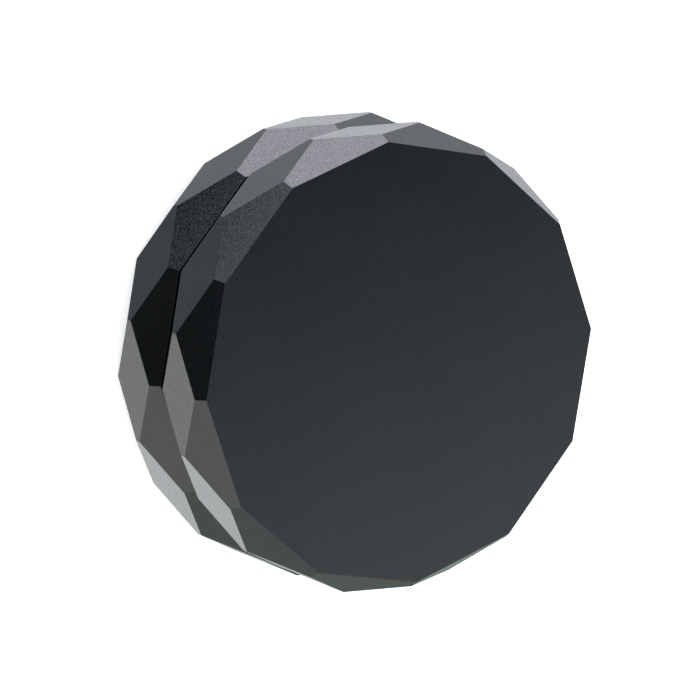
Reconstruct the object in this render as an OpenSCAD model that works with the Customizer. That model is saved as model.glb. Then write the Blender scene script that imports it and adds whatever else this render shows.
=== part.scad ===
// Two-piece faceted hand grinder, 63 mm across its corners.
// The origin is the middle of the base's underside, +Z is the axis the lid turns about.
// The base and the lid are the same twelve-sided faceted blank, hollowed and toothed
// differently, and a plastic glide ring on the base's collar carries the lid.

/* [Faceted body] */
// Width across the corners of the belt
body_w = 63; // [60:0.5:66]
// Width across the corners of each flat face
face_w = 59.1; // [58.6:0.1:60]
// Thickness of one half
half_t = 11.7; // [11.4:0.05:13]
// Length of the short upright edge between two belt facets
ridge = 0.9; // [0.4:0.1:2]
// Gap between the two halves, bridged by the glide ring
gap = 0.6; // [0.3:0.05:0.8]

/* [Chamber] */
// Thickness of the flat face over the chamber
plate_t = 3; // [2:0.1:3.4]
// Diameter of the chamber
chamber_d = 49; // [48.6:0.1:49.6]
// Diameter of the post that holds each magnet
post_d = 13; // [12.5:0.1:14]

/* [Collar and glide ring] */
// Outer diameter of the base's collar
collar_d = 52; // [51.6:0.1:52.4]
// Height of the collar above the base's rim
collar_h = 3; // [2:0.1:4]
// Radial thickness of the glide ring
ring_t = 0.9; // [0.8:0.05:1]
// Outer diameter of the glide ring's flange, which the lid rests on
flange_d = 56.2; // [55.6:0.1:56.6]
// Radial running clearance on each side of the glide ring
running = 0.05; // [0.02:0.01:0.08]

/* [Teeth] */
// Height of every tooth above its plate
tooth_h = 13.4; // [12:0.1:14]
// Width of a tooth along the radius
tooth_w = 3; // [2.4:0.1:3.2]
// Length of a tooth around its ring
tooth_l = 4.2; // [3.6:0.1:4.6]
// Slant at the tip of a tooth
tip_h = 1.2; // [0.6:0.1:2]
// Radius of the lid's inner ring; each next ring is one pitch further out
first_ring_r = 10; // [9.8:0.1:10.4]
// Radial pitch between a lid ring and the next base ring
ring_pitch = 4; // [3.9:0.05:4.1]

/* [Magnets] */
// Diameter of a magnet
magnet_d = 10; // [8:0.5:10]
// Thickness of a magnet
magnet_t = 3; // [2:0.5:4]

/* [Hidden] */

sides = 12;
sector = 360 / sides;
total_h = 2 * half_t + gap;
parting_z = total_h / 2;
half_mid = half_t / 2;
belt_flat_r = body_w / 2 * cos(sector / 2);
face_flat_r = face_w / 2 * cos(sector / 2);
bevel_run = body_w / 2 - face_flat_r;
bevel_rise = half_mid - ridge / 2;
bevel_tilt = atan(bevel_run / bevel_rise);
cutter = body_w;
rim_z = half_t;
collar_top = rim_z + collar_h;
socket_d = collar_d + 2 * (ring_t + 2 * running);
socket_clear = 0.3;
socket_top = collar_top + socket_clear;
post_gap = 0.6;
post_top = parting_z - post_gap / 2;
magnet_sink = 0.2;
lead_in = 0.4;
over = 1;
fine = 96;
coated = "#2f3234";

lid_inner_r = first_ring_r;
base_inner_r = first_ring_r + ring_pitch;
lid_outer_r = first_ring_r + 2 * ring_pitch;
base_outer_r = first_ring_r + 3 * ring_pitch;
base_outer_n = 16;
base_inner_n = 10;
lid_outer_n = 12;
lid_inner_n = 6;

// Half of the body as a solid blank: a twelve-sided belt with each corner bevelled
// towards both faces, so the belt facets become rhombi
module blank() {
    difference() {
        rotate([0, 0, sector / 2])
            cylinder(h = half_t, r = body_w / 2, $fn = sides);
        for (i = [0 : sides - 1], up = [0, 1])
            rotate([0, 0, (i + 0.5) * sector])
                translate([0, 0, half_mid])
                    mirror([0, 0, 1 - up])
                        bevel_cutter();
    }
}

// Block whose inner face is the bevel plane above the middle of a half
module bevel_cutter() {
    translate([body_w / 2, 0, ridge / 2])
        rotate([0, -bevel_tilt, 0])
            translate([0, -cutter / 2, -cutter / 2])
                cube(cutter);
}

// Post with a pocket for its magnet, standing on a plate whose inner face is at z = 0
module post(height) {
    difference() {
        translate([0, 0, -over])
            cylinder(h = height + over, d = post_d, $fn = fine);
        translate([0, 0, height - magnet_t - magnet_sink])
            cylinder(h = magnet_t + magnet_sink + over, d = magnet_d, $fn = fine);
    }
}

module magnet(z) {
    translate([0, 0, z])
        cylinder(h = magnet_t, d = magnet_d, $fn = fine);
}

// One tooth: a diamond-shaped post with its tip slanted off on both sides
module tooth() {
    difference() {
        linear_extrude(tooth_h)
            polygon([[tooth_w / 2, 0], [0, tooth_l / 2], [-tooth_w / 2, 0], [0, -tooth_l / 2]]);
        for (side = [-1, 1])
            translate([0, side * tooth_l / 2, tooth_h - tip_h])
                rotate([-side * atan(tip_h / (tooth_l / 2)), 0, 0])
                    translate([-tooth_l, -tooth_l, 0])
                        cube(2 * tooth_l);
    }
}

// Ring of teeth standing on a plate whose inner face is at z = 0
module tooth_ring(radius, count) {
    for (i = [0 : count - 1])
        rotate([0, 0, (i + 0.5) * 360 / count])
            translate([radius, 0, 0])
                tooth();
}

// Turns what is built upwards from the base's plate into its place under the lid's plate
module under_lid() {
    translate([0, 0, total_h])
        mirror([0, 0, 1])
            children();
}

module base_body() {
    color(coated) {
        difference() {
            blank();
            translate([0, 0, plate_t])
                cylinder(h = half_t, d = chamber_d, $fn = fine);
        }
        translate([0, 0, plate_t])
            post(post_top - plate_t);
        collar();
    }
}

// Collar that stands up from the base's rim, with a lead-in on its outer edge
module collar() {
    rotate_extrude($fn = fine)
        polygon([
            [chamber_d / 2, rim_z - over],
            [collar_d / 2, rim_z - over],
            [collar_d / 2, collar_top - lead_in],
            [collar_d / 2 - lead_in, collar_top],
            [chamber_d / 2, collar_top]
        ]);
}

module base_outer_teeth() {
    color(coated)
        translate([0, 0, plate_t])
            tooth_ring(base_outer_r, base_outer_n);
}

module base_inner_teeth() {
    color(coated)
        translate([0, 0, plate_t])
            tooth_ring(base_inner_r, base_inner_n);
}

module base_magnet() {
    color("silver")
        magnet(post_top - magnet_sink - magnet_t);
}

// Angle-section ring: a sleeve around the collar and a flange in the gap
module glide_ring() {
    sleeve_r = collar_d / 2 + running;
    color("#151515")
        rotate_extrude($fn = fine)
            polygon([
                [sleeve_r, rim_z],
                [flange_d / 2, rim_z],
                [flange_d / 2, rim_z + gap],
                [sleeve_r + ring_t, rim_z + gap],
                [sleeve_r + ring_t, collar_top - lead_in],
                [sleeve_r, collar_top - lead_in]
            ]);
}

module lid_body() {
    color(coated)
        under_lid() {
            difference() {
                blank();
                translate([0, 0, plate_t])
                    cylinder(h = half_t, d = chamber_d, $fn = fine);
                translate([0, 0, total_h - socket_top])
                    cylinder(h = half_t, d = socket_d, $fn = fine);
            }
            translate([0, 0, plate_t])
                post(post_top - plate_t);
        }
}

module lid_outer_teeth() {
    color(coated)
        under_lid()
            translate([0, 0, plate_t])
                tooth_ring(lid_outer_r, lid_outer_n);
}

module lid_inner_teeth() {
    color(coated)
        under_lid()
            translate([0, 0, plate_t])
                tooth_ring(lid_inner_r, lid_inner_n);
}

module lid_magnet() {
    color("silver")
        under_lid()
            magnet(post_top - magnet_sink - magnet_t);
}

base_body();
base_outer_teeth();
base_inner_teeth();
base_magnet();
glide_ring();
lid_body();
lid_outer_teeth();
lid_inner_teeth();
lid_magnet();
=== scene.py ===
"""Looks of the faceted hand grinder: black anodised, bead-blasted halves on a pale floor."""

import math

import bpy
from mathutils import Matrix, Quaternion, Vector


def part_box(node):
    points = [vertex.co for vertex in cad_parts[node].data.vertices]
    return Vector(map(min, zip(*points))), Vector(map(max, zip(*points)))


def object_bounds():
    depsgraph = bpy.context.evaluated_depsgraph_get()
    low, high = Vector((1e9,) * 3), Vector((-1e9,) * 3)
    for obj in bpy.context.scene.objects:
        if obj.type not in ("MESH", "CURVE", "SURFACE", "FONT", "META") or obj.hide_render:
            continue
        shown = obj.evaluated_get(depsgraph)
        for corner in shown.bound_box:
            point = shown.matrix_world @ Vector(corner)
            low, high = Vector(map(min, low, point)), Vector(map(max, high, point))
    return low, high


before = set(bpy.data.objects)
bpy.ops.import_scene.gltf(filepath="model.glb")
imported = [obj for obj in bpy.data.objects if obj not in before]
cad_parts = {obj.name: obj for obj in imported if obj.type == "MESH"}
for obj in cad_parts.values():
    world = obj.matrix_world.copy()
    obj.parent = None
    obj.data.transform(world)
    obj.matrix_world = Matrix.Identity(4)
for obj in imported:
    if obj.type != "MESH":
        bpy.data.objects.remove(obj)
cad_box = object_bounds()

MM = 0.001
SCENE = bpy.context.scene
MIDDLE = (cad_box[0].z + cad_box[1].z) / 2
# What counts as inside: nearer the axis than the ring's flange, and nearer the middle than the
# skin of the two flat faces
INSIDE_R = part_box("glide_ring")[1].x - 0.9 * MM
INSIDE_H = cad_box[1].z - MIDDLE - 1.1 * MM
# An edge that turns more than this is a real edge, not part of a round wall
SHARP = math.radians(20)

# Darkest and lightest patch of each finish
COAT = ((0.0014, 0.0019, 0.0021), (0.0022, 0.0027, 0.0031))
DUSTY_COAT = ((0.010, 0.011, 0.011), (0.024, 0.024, 0.022))
MILLED_COAT = ((0.009, 0.010, 0.010), (0.020, 0.020, 0.019))
NICKEL = ((0.56, 0.55, 0.53), (0.66, 0.65, 0.63))
PLASTIC = ((0.0085, 0.0085, 0.0090), (0.0130, 0.0130, 0.0135))
# Colour of each finish where an edge is rubbed
RUBBED_COAT = (0.010, 0.011, 0.012)
BARE_METAL = (0.26, 0.26, 0.27)
DULL_NICKEL = (0.40, 0.39, 0.37)
RUBBED_PLASTIC = (0.035, 0.035, 0.036)


# ---------------------------------------------------------------- node helpers

def direction(azimuth, elevation):
    """Unit vector towards a direction; azimuth 0 is -Y and 90 is +X, in degrees."""
    a, e = math.radians(azimuth), math.radians(elevation)
    return Vector((math.sin(a) * math.cos(e), -math.cos(a) * math.cos(e), math.sin(e)))


class Nodes:
    """Short names for building a node tree."""

    def __init__(self, tree, keep=False):
        self.tree = tree
        if not keep:
            tree.nodes.clear()

    def add(self, kind, links=None, **settings):
        """Adds a node, sets its attributes, and fills its inputs by name or number."""
        node = self.tree.nodes.new(kind)
        for name, value in settings.items():
            setattr(node, name, value)
        for key, value in (links or {}).items():
            self.put(node.inputs[key], value)
        return node

    def put(self, socket, value):
        if isinstance(value, bpy.types.NodeSocket):
            self.tree.links.new(value, socket)
        else:
            socket.default_value = value

    def math(self, operation, a, b=0.0):
        return self.add("ShaderNodeMath", {0: a, 1: b}, operation=operation).outputs[0]

    def remap(self, value, low, high, to_low=0.0, to_high=1.0, smooth=False):
        node = self.add(
            "ShaderNodeMapRange",
            {"Value": value, "From Min": low, "From Max": high, "To Min": to_low, "To Max": to_high},
            interpolation_type="SMOOTHSTEP" if smooth else "LINEAR",
        )
        return node.outputs["Result"]

    def noise(self, at, size, detail=2.0, roughness=0.5):
        """Noise whose grains are about size metres across."""
        node = self.add(
            "ShaderNodeTexNoise",
            {"Vector": at, "Scale": 1.0 / size, "Detail": detail, "Roughness": roughness},
        )
        return node.outputs["Fac"]

    def cells(self, at, size):
        """Distance to the nearest of points about size metres apart: round dimples."""
        node = self.add("ShaderNodeTexVoronoi", {"Vector": at, "Scale": 1.0 / size})
        return node.outputs["Distance"]

    def radius(self, at):
        """Distance from the spin axis."""
        flat = self.add("ShaderNodeVectorMath", {0: at, 1: (1, 1, 0)}, operation="MULTIPLY").outputs[0]
        return self.add("ShaderNodeVectorMath", {0: flat}, operation="LENGTH").outputs["Value"]

    def height(self, at):
        return self.add("ShaderNodeSeparateXYZ", {0: at}).outputs["Z"]

    def stretch(self, at, scale):
        return self.add("ShaderNodeVectorMath", {0: at, 1: scale}, operation="MULTIPLY").outputs[0]

    def mix_colour(self, share, first, second):
        """Colour between two, each given as three numbers or a socket."""
        node = self.add("ShaderNodeMix", data_type="RGBA")
        for name, value in (("Factor", share), ("A", first), ("B", second)):
            socket = next(s for s in node.inputs if s.name == name and s.enabled)
            self.put(socket, (*value, 1.0) if isinstance(value, tuple) else value)
        return next(s for s in node.outputs if s.enabled)

    def bump(self, height, depth, strength=1.0, before=None):
        links = {"Height": height, "Distance": depth, "Strength": strength}
        if before is not None:
            links["Normal"] = before
        return self.add("ShaderNodeBump", links).outputs["Normal"]

    def glitter(self, at, size, tilt, share):
        """Surface direction tipped a little every way from grain to grain, as blasting leaves it."""
        grains = self.add(
            "ShaderNodeTexNoise", {"Vector": at, "Scale": 1.0 / size, "Detail": 1.0, "Roughness": 0.4},
        ).outputs["Color"]
        about = self.add("ShaderNodeVectorMath", {0: grains, 1: (0.5, 0.5, 0.5)}, operation="SUBTRACT")
        reach = self.math("MULTIPLY", share, tilt)
        tips = self.add("ShaderNodeVectorMath", {0: about.outputs[0], "Scale": reach}, operation="SCALE")
        facing = self.add("ShaderNodeNewGeometry").outputs["Normal"]
        tipped = self.add("ShaderNodeVectorMath", {0: facing, 1: tips.outputs[0]}, operation="ADD")
        return self.add("ShaderNodeVectorMath", {0: tipped.outputs[0]}, operation="NORMALIZE").outputs[0]

    def principled(self, colour, roughness, normal, ior=1.5, metallic=0.0):
        links = {
            "Base Color": colour, "Roughness": roughness, "Normal": normal,
            "IOR": ior, "Metallic": metallic,
        }
        return self.add("ShaderNodeBsdfPrincipled", links)


# ---------------------------------------------------------------- materials

def finish(name, build):
    """A material whose nodes build(n, at) makes; at is the place on the node, in metres."""
    material = bpy.data.materials.new(name)
    material.use_nodes = True
    n = Nodes(material.node_tree)
    shader = build(n, n.add("ShaderNodeTexCoord").outputs["Object"])
    n.add("ShaderNodeOutputMaterial", {"Surface": shader.outputs[0]})
    return material


def worn(n, at, reach, threshold):
    """Share of rubbed edge: near a sharp edge, broken up by noise above the threshold."""
    rounded = n.add("ShaderNodeBevel", {"Radius": reach}, samples=6).outputs["Normal"]
    flat = n.add("ShaderNodeNewGeometry").outputs["True Normal"]
    turn = n.add("ShaderNodeVectorMath", {0: rounded, 1: flat}, operation="DOT_PRODUCT").outputs["Value"]
    edge = n.remap(turn, 0.995, 0.93)
    rubbed = n.remap(n.noise(at, 0.9 * MM, detail=4.0), threshold, threshold + 0.15, smooth=True)
    return n.math("MULTIPLY", edge, rubbed)


def turned(n, at, pitch):
    """Height of lathe marks: rings about the axis, uneven from ring to ring."""
    radius = n.radius(at)
    rings = n.math("SINE", n.math("MULTIPLY", radius, 2 * math.pi / pitch))
    ends = {"Vector": n.add("ShaderNodeCombineXYZ", {"X": radius}).outputs[0], "Scale": 0.4 / pitch}
    uneven = n.add("ShaderNodeTexNoise", {**ends, "Detail": 3.0}).outputs["Fac"]
    return n.math("ADD", n.math("MULTIPLY", rings, 0.25), uneven)


def blasted_coat(n, at):
    """Black anodised aluminium: bead-blasted facets outside, lathe marks and dust inside."""
    grain = 0.20 * MM
    blast = n.noise(at, grain, detail=1.0, roughness=0.4)
    dimples = n.cells(at, 0.32 * MM)
    patches = n.noise(at, 9 * MM, detail=3.0)
    grime = n.noise(at, 2.2 * MM, detail=5.0, roughness=0.6)
    inside = n.math(
        "MULTIPLY",
        n.math("LESS_THAN", n.radius(at), INSIDE_R),
        n.math("LESS_THAN", n.math("ABSOLUTE", n.math("SUBTRACT", n.height(at), MIDDLE)), INSIDE_H),
    )
    outside = n.math("SUBTRACT", 1.0, inside)
    edge = worn(n, at, 0.18 * MM, 0.52)
    smooth = n.remap(blast, 0.3, 0.7, 0.14, 0.28)
    roughness = n.math("ADD", smooth, n.remap(patches, 0.3, 0.7, -0.015, 0.015))
    roughness = n.math("ADD", roughness, n.math("MULTIPLY", inside, n.remap(grime, 0.4, 0.7, 0.04, 0.16)))
    roughness = n.math("ADD", roughness, n.math("MULTIPLY", edge, 0.10))
    normal = n.bump(dimples, 0.004 * MM, outside, before=n.glitter(at, grain, 0.12, outside))
    normal = n.bump(turned(n, at, 0.5 * MM), 0.020 * MM, inside, before=normal)
    coat = n.mix_colour(n.remap(patches, 0.35, 0.65), *COAT)
    coat = n.mix_colour(inside, coat, n.mix_colour(n.remap(grime, 0.35, 0.7), *DUSTY_COAT))
    coat = n.mix_colour(edge, coat, RUBBED_COAT)
    return n.principled(coat, roughness, normal, ior=1.55)


def milled_coat(n, at):
    """The same coat on the milled teeth, with cutter marks, rubbed to grey on its edges."""
    marks = n.noise(n.stretch(at, (1.0, 1.0, 7.0)), 0.5 * MM, detail=2.0)
    patches = n.noise(at, 3 * MM, detail=4.0, roughness=0.6)
    edge = worn(n, at, 0.30 * MM, 0.40)
    coat = n.mix_colour(n.remap(patches, 0.35, 0.65), *MILLED_COAT)
    coat = n.mix_colour(n.math("MULTIPLY", edge, 0.65), coat, BARE_METAL)
    roughness = n.math("ADD", n.remap(marks, 0.3, 0.7, 0.20, 0.28), n.math("MULTIPLY", edge, 0.12))
    return n.principled(coat, roughness, n.bump(marks, 0.012 * MM), ior=1.55)


def nickel(n, at):
    """Nickel-plated magnet: bright metal, fine scuffs, dull along its rim."""
    scuffs = n.noise(n.stretch(at, (1.0, 9.0, 1.0)), 0.35 * MM, detail=4.0, roughness=0.6)
    crossed = n.noise(n.stretch(at, (9.0, 1.0, 1.0)), 0.5 * MM, detail=4.0, roughness=0.6)
    clouds = n.noise(at, 2.5 * MM, detail=3.0)
    edge = worn(n, at, 0.35 * MM, 0.35)
    colour = n.mix_colour(n.remap(clouds, 0.35, 0.65), *NICKEL)
    colour = n.mix_colour(edge, colour, DULL_NICKEL)
    roughness = n.math("ADD", n.remap(scuffs, 0.35, 0.7, 0.16, 0.32), n.math("MULTIPLY", edge, 0.10))
    normal = n.bump(crossed, 0.004 * MM, before=n.bump(scuffs, 0.004 * MM))
    return n.principled(colour, roughness, normal, metallic=1.0)


def black_plastic(n, at):
    """Moulded black plastic of the glide ring: fine texture, polished where it slides."""
    texture = n.noise(at, 0.30 * MM, detail=3.0)
    flow = n.noise(n.stretch(at, (1.0, 1.0, 0.2)), 4 * MM, detail=3.0)
    edge = worn(n, at, 0.20 * MM, 0.40)
    colour = n.mix_colour(n.remap(flow, 0.35, 0.65), *PLASTIC)
    colour = n.mix_colour(edge, colour, RUBBED_PLASTIC)
    roughness = n.math("SUBTRACT", n.remap(texture, 0.3, 0.7, 0.42, 0.56), n.math("MULTIPLY", edge, 0.12))
    return n.principled(colour, roughness, n.bump(texture, 0.015 * MM), ior=1.48)


def one_skin():
    """Node group that joins split corners and shades a face flat where its edge is sharp."""
    group = bpy.data.node_groups.new("one_skin", "GeometryNodeTree")
    for way in ("INPUT", "OUTPUT"):
        group.interface.new_socket("Mesh", in_out=way, socket_type="NodeSocketGeometry")
    group.nodes.new("NodeGroupInput")
    n = Nodes(group, keep=True)
    mesh = group.nodes[0].outputs[0]
    mesh = n.add("GeometryNodeMergeByDistance", {0: mesh, "Distance": 0.001 * MM}).outputs[0]
    mesh = n.add("GeometryNodeRemoveAttribute", {0: mesh, "Name": "custom_normal"}).outputs[0]
    mesh = n.add("GeometryNodeSetShadeSmooth", {0: mesh}, domain="FACE").outputs[0]
    turn = n.add("GeometryNodeInputMeshEdgeAngle").outputs["Unsigned Angle"]
    blunt = n.math("LESS_THAN", turn, SHARP)
    mesh = n.add("GeometryNodeSetShadeSmooth", {0: mesh, "Shade Smooth": blunt}, domain="EDGE").outputs[0]
    n.add("NodeGroupOutput", {0: mesh})
    return group


def break_edges(node, width, skin):
    """Rounds the sharp edges of a CAD node by a hair, as blasting and tumbling do."""
    node.modifiers.new("one_skin", "NODES").node_group = skin
    bevel = node.modifiers.new("edge_break", "BEVEL")
    bevel.width = width
    bevel.segments = 2
    bevel.limit_method = "ANGLE"
    bevel.angle_limit = SHARP
    bevel.harden_normals = True


# The finish of each kind of node, and how far its edges are broken
FINISHES = {
    "_body": ("blasted_coat", blasted_coat, 0.05 * MM),
    "_teeth": ("milled_coat", milled_coat, 0.12 * MM),
    "_magnet": ("nickel", nickel, 0.20 * MM),
    "_ring": ("black_plastic", black_plastic, 0.10 * MM),
}


def finish_nodes():
    skin = one_skin()
    for ending, (name, build, edge) in FINISHES.items():
        material = finish(name, build)
        for node_name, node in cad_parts.items():
            if node_name.endswith(ending):
                for slot in node.material_slots:
                    slot.material = material
                break_edges(node, edge, skin)


# ---------------------------------------------------------------- stage

# Panels of the studio around the object, as its facets see them: azimuth, elevation,
# inner and outer half-width in degrees, and the light it adds to or takes from the tent
TENT = (0.92, 0.97, 1.02)
PANELS = {
    "key_panel": (-74, -13, 0, 14, (4.7, 4.5, 5.2)),
    "key_spill": (-96, -22, 0, 36, (0.22, 0.22, 0.24)),
    "camera_shade": (19, -3, 6, 44, (-0.86, -0.90, -0.94)),
    "low_front_shade": (-12, -60, 0, 33, (-0.56, -0.54, -0.54)),
    "low_right": (84, -64, 0, 44, (0.36, 0.36, 0.36)),
    "low_back": (112, -66, 0, 34, (0.62, 0.62, 0.62)),
    "low_back_shade": (158, -36, 0, 38, (-0.56, -0.53, -0.64)),
    "back_shade": (112, -16, 0, 24, (-0.21, -0.15, -0.20)),
    "right_panel": (64, -8, 0, 26, (0.73, 0.73, 0.73)),
    "overhead_shade": (0, 90, 20, 60, (-0.25, -0.25, -0.25)),
    "left_panel": (-134, -50, 0, 28, (0.24, 0.23, 0.24)),
}


def tent():
    """World light: a white tent with brighter and darker panels; plain white to the camera."""
    world = bpy.data.worlds.new("tent")
    world.use_nodes = True
    SCENE.world = world
    n = Nodes(world.node_tree)
    toward = n.add("ShaderNodeTexCoord").outputs["Generated"]
    light = n.add("ShaderNodeRGB").outputs[0]
    light.default_value = (*TENT, 1.0)
    for azimuth, elevation, inner, outer, colour in PANELS.values():
        ends = {0: toward, 1: direction(azimuth, elevation)}
        along = n.add("ShaderNodeVectorMath", ends, operation="DOT_PRODUCT").outputs["Value"]
        rim, core = (math.cos(math.radians(angle)) for angle in (outer, inner))
        share = n.remap(along, rim, core, smooth=True)
        part = n.add("ShaderNodeVectorMath", {0: colour, "Scale": share}, operation="SCALE").outputs[0]
        light = n.add("ShaderNodeVectorMath", {0: light, 1: part}, operation="ADD").outputs[0]
    light = n.add("ShaderNodeVectorMath", {0: light, 1: (0, 0, 0)}, operation="MAXIMUM").outputs[0]
    seen = n.add("ShaderNodeLightPath").outputs["Is Camera Ray"]
    ends = {"Factor": seen, "A": light, "B": (1, 1, 1, 1)}
    colour = n.add("ShaderNodeMix", ends, data_type="RGBA").outputs["Result"]
    back = n.add("ShaderNodeBackground", {"Color": colour})
    n.add("ShaderNodeOutputWorld", {"Surface": back.outputs[0]})


def floor():
    """Pale floor that the facets don't mirror, because the tent lights them from below too."""
    gap = 0.02 * MM
    bpy.ops.mesh.primitive_plane_add(size=6.0, location=(0, 0, cad_box[0].z - gap))
    plane = bpy.context.object
    plane.name = "floor"
    plane.visible_glossy = False
    material = bpy.data.materials.new("pale_floor")
    material.use_nodes = True
    shader = material.node_tree.nodes["Principled BSDF"]
    shader.inputs["Base Color"].default_value = (0.92, 0.92, 0.92, 1)
    shader.inputs["Roughness"].default_value = 0.9
    shader.inputs["Emission Color"].default_value = (1, 1, 1, 1)
    shader.inputs["Emission Strength"].default_value = 0.6
    plane.data.materials.append(material)


def overhead():
    """Wide soft light that brightens the floor."""
    lamp = bpy.data.lights.new("overhead", "AREA")
    lamp.shape = "DISK"
    lamp.size = 1.6
    lamp.energy = 14.0
    light = bpy.data.objects.new("overhead", lamp)
    light.location = (0, 0, 1.2)
    light.visible_glossy = False
    SCENE.collection.objects.link(light)


def card(name, at, toward, away, size, uphill, ramp, colour, dimmest=0.0):
    """Glowing card seen only in reflections; its light climbs along uphill from dark to bright.

    ramp is how far from the card's middle the light starts and where it reaches colour;
    dimmest is the least share of colour that it gives off.
    """
    bpy.ops.mesh.primitive_plane_add(size=size, location=at + toward * away)
    board = bpy.context.object
    board.name = name
    board.rotation_mode = "QUATERNION"
    side = uphill.cross(toward).normalized()
    up = toward.cross(side)
    board.rotation_quaternion = Matrix((side, up, toward)).transposed().to_quaternion()
    board.visible_camera = board.visible_diffuse = board.visible_shadow = False
    material = bpy.data.materials.new(name)
    material.use_nodes = True
    n = Nodes(material.node_tree)
    along = n.add("ShaderNodeSeparateXYZ", {0: n.add("ShaderNodeTexCoord").outputs["Object"]}).outputs["Y"]
    climb = n.math("MAXIMUM", n.remap(along, *ramp), dimmest)
    glow = n.add("ShaderNodeEmission", {"Color": (*colour, 1.0), "Strength": climb})
    n.add("ShaderNodeOutputMaterial", {"Surface": glow.outputs[0]})
    board.data.materials.append(material)


def camera():
    """Long lens, rolled so that the object stands on its edge in the picture."""
    away = 697.2 * MM
    roll = math.radians(105.72)
    right_of_middle = 0.23 * MM
    front_of_middle = 0.95 * MM
    data = bpy.data.cameras.new("camera")
    data.sensor_width = 36.0
    data.lens = 269.7
    data.clip_start = 0.05
    eye = bpy.data.objects.new("camera", data)
    lo, hi = cad_box
    aim = Vector(((lo.x + hi.x) / 2 + right_of_middle, (lo.y + hi.y) / 2 - front_of_middle, MIDDLE))
    back = direction(7.34, 58.07)
    eye.location = aim + back * away
    eye.rotation_mode = "QUATERNION"
    level = (-back).to_track_quat("-Z", "Y")
    eye.rotation_quaternion = level @ Quaternion((0, 0, 1), roll)
    SCENE.collection.objects.link(eye)
    SCENE.camera = eye


camera()
tent()
floor()
overhead()
# What the lid's face mirrors: a slow climb from dark to bright across it
card(
    "face_card",
    at=Vector((0, 0, cad_box[1].z)),
    toward=direction(-172.6, 57.5),
    away=120 * MM,
    size=250 * MM,
    uphill=Vector((0.73, 0.60, -0.32)),
    ramp=(-54 * MM, 56 * MM),
    colour=(1.21, 1.39, 1.50),
    dimmest=0.2,
)
# What the front belt facets mirror: brighter on the lid than on the base
card(
    "front_card",
    at=direction(-15, 0) * 29 * MM + Vector((0, 0, 15 * MM)),
    toward=direction(-27, -5),
    away=200 * MM,
    size=130 * MM,
    uphill=Vector((0, 0, 1)),
    ramp=(-6 * MM, 29 * MM),
    colour=(2.4, 2.75, 3.2),
)
finish_nodes()
SCENE.view_settings.view_transform = "Standard"
